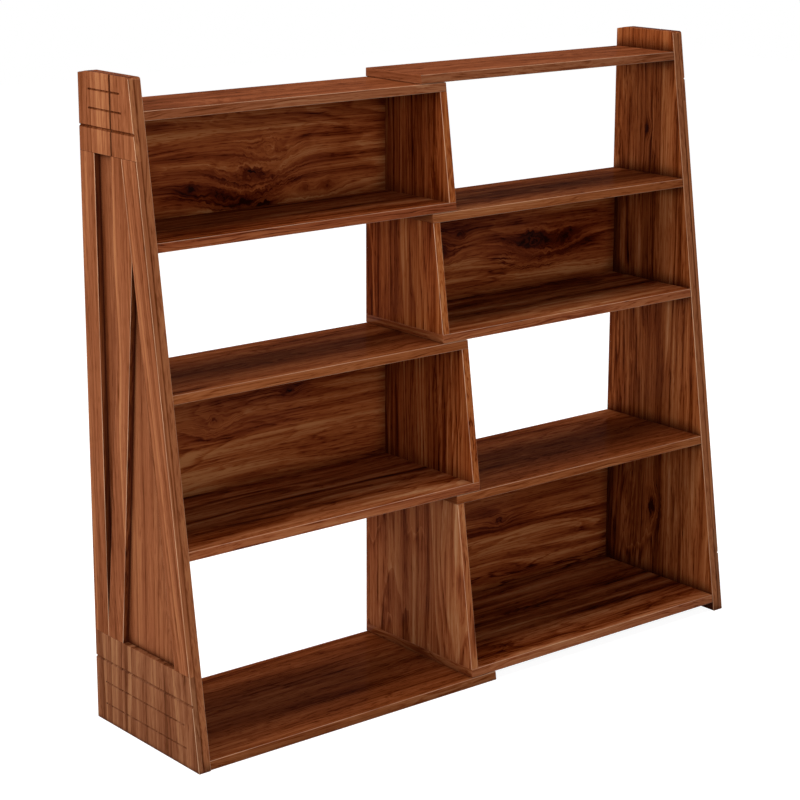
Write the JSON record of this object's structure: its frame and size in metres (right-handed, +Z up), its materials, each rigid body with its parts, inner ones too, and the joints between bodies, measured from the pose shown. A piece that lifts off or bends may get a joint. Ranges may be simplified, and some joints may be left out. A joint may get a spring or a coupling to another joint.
{
  "type": "extending bookcase",
  "caption": "Low walnut bookcase in two nesting halves with tapered end panels, closed boxes and open bays; one half slides along the other to change its width.",
  "frame": {"origin": "on the floor, midway between the end panels and midway between front and rear", "axes": "+X to the right along the width, +Y to the rear, +Z up"},
  "size_m": [1.198, 0.3, 1.08],
  "materials": {
    "end_panel_walnut": "satin lacquered walnut, grain upright",
    "shelf_walnut": "satin lacquered walnut, grain along the board",
    "back_board_walnut": "satin lacquered walnut veneer with knots, grain along the board",
    "dowel_beech": "plain turned beech",
    "plated_steel": "bright zinc plate",
    "cast_zinc": "die-cast, as cast"
  },
  "bodies": {
    "left_half": {"left_back_brads": "plated_steel", "left_base_shelf": "shelf_walnut", "left_cam_bolts": "plated_steel", "left_cam_locks": "cast_zinc", "left_corner_screws": "plated_steel", "left_high_shelf": "shelf_walnut", "left_low_shelf": "shelf_walnut", "left_lower_back": "back_board_walnut", "left_lower_upright": "shelf_walnut", "left_middle_shelf": "shelf_walnut", "left_panel_bottom_block": "end_panel_walnut", "left_panel_core": "end_panel_walnut", "left_panel_diagonal_slat": "end_panel_walnut", "left_panel_front_stile": "end_panel_walnut", "left_panel_rear_stile": "end_panel_walnut", "left_panel_top_block": "end_panel_walnut", "left_shelf_dowels": "dowel_beech", "left_top_shelf": "shelf_walnut", "left_upper_back": "back_board_walnut", "left_upper_upright": "shelf_walnut", "left_upright_screws": "plated_steel"},
    "right_half": {"right_back_brads": "plated_steel", "right_base_shelf": "shelf_walnut", "right_cam_bolts": "plated_steel", "right_cam_locks": "cast_zinc", "right_corner_screws": "plated_steel", "right_high_shelf": "shelf_walnut", "right_low_shelf": "shelf_walnut", "right_lower_back": "back_board_walnut", "right_lower_upright": "shelf_walnut", "right_middle_shelf": "shelf_walnut", "right_panel_bottom_block": "end_panel_walnut", "right_panel_core": "end_panel_walnut", "right_panel_diagonal_slat": "end_panel_walnut", "right_panel_front_stile": "end_panel_walnut", "right_panel_rear_stile": "end_panel_walnut", "right_panel_top_block": "end_panel_walnut", "right_shelf_dowels": "dowel_beech", "right_top_shelf": "shelf_walnut", "right_upper_back": "back_board_walnut", "right_upper_upright": "shelf_walnut", "right_upright_screws": "plated_steel"}
  },
  "joints": [
    {"name": "extension_slide", "type": "slide", "parent": "left_half", "child": "right_half", "axis": [1, 0, 0], "range_m": [-0.547, 0]}
  ]
}
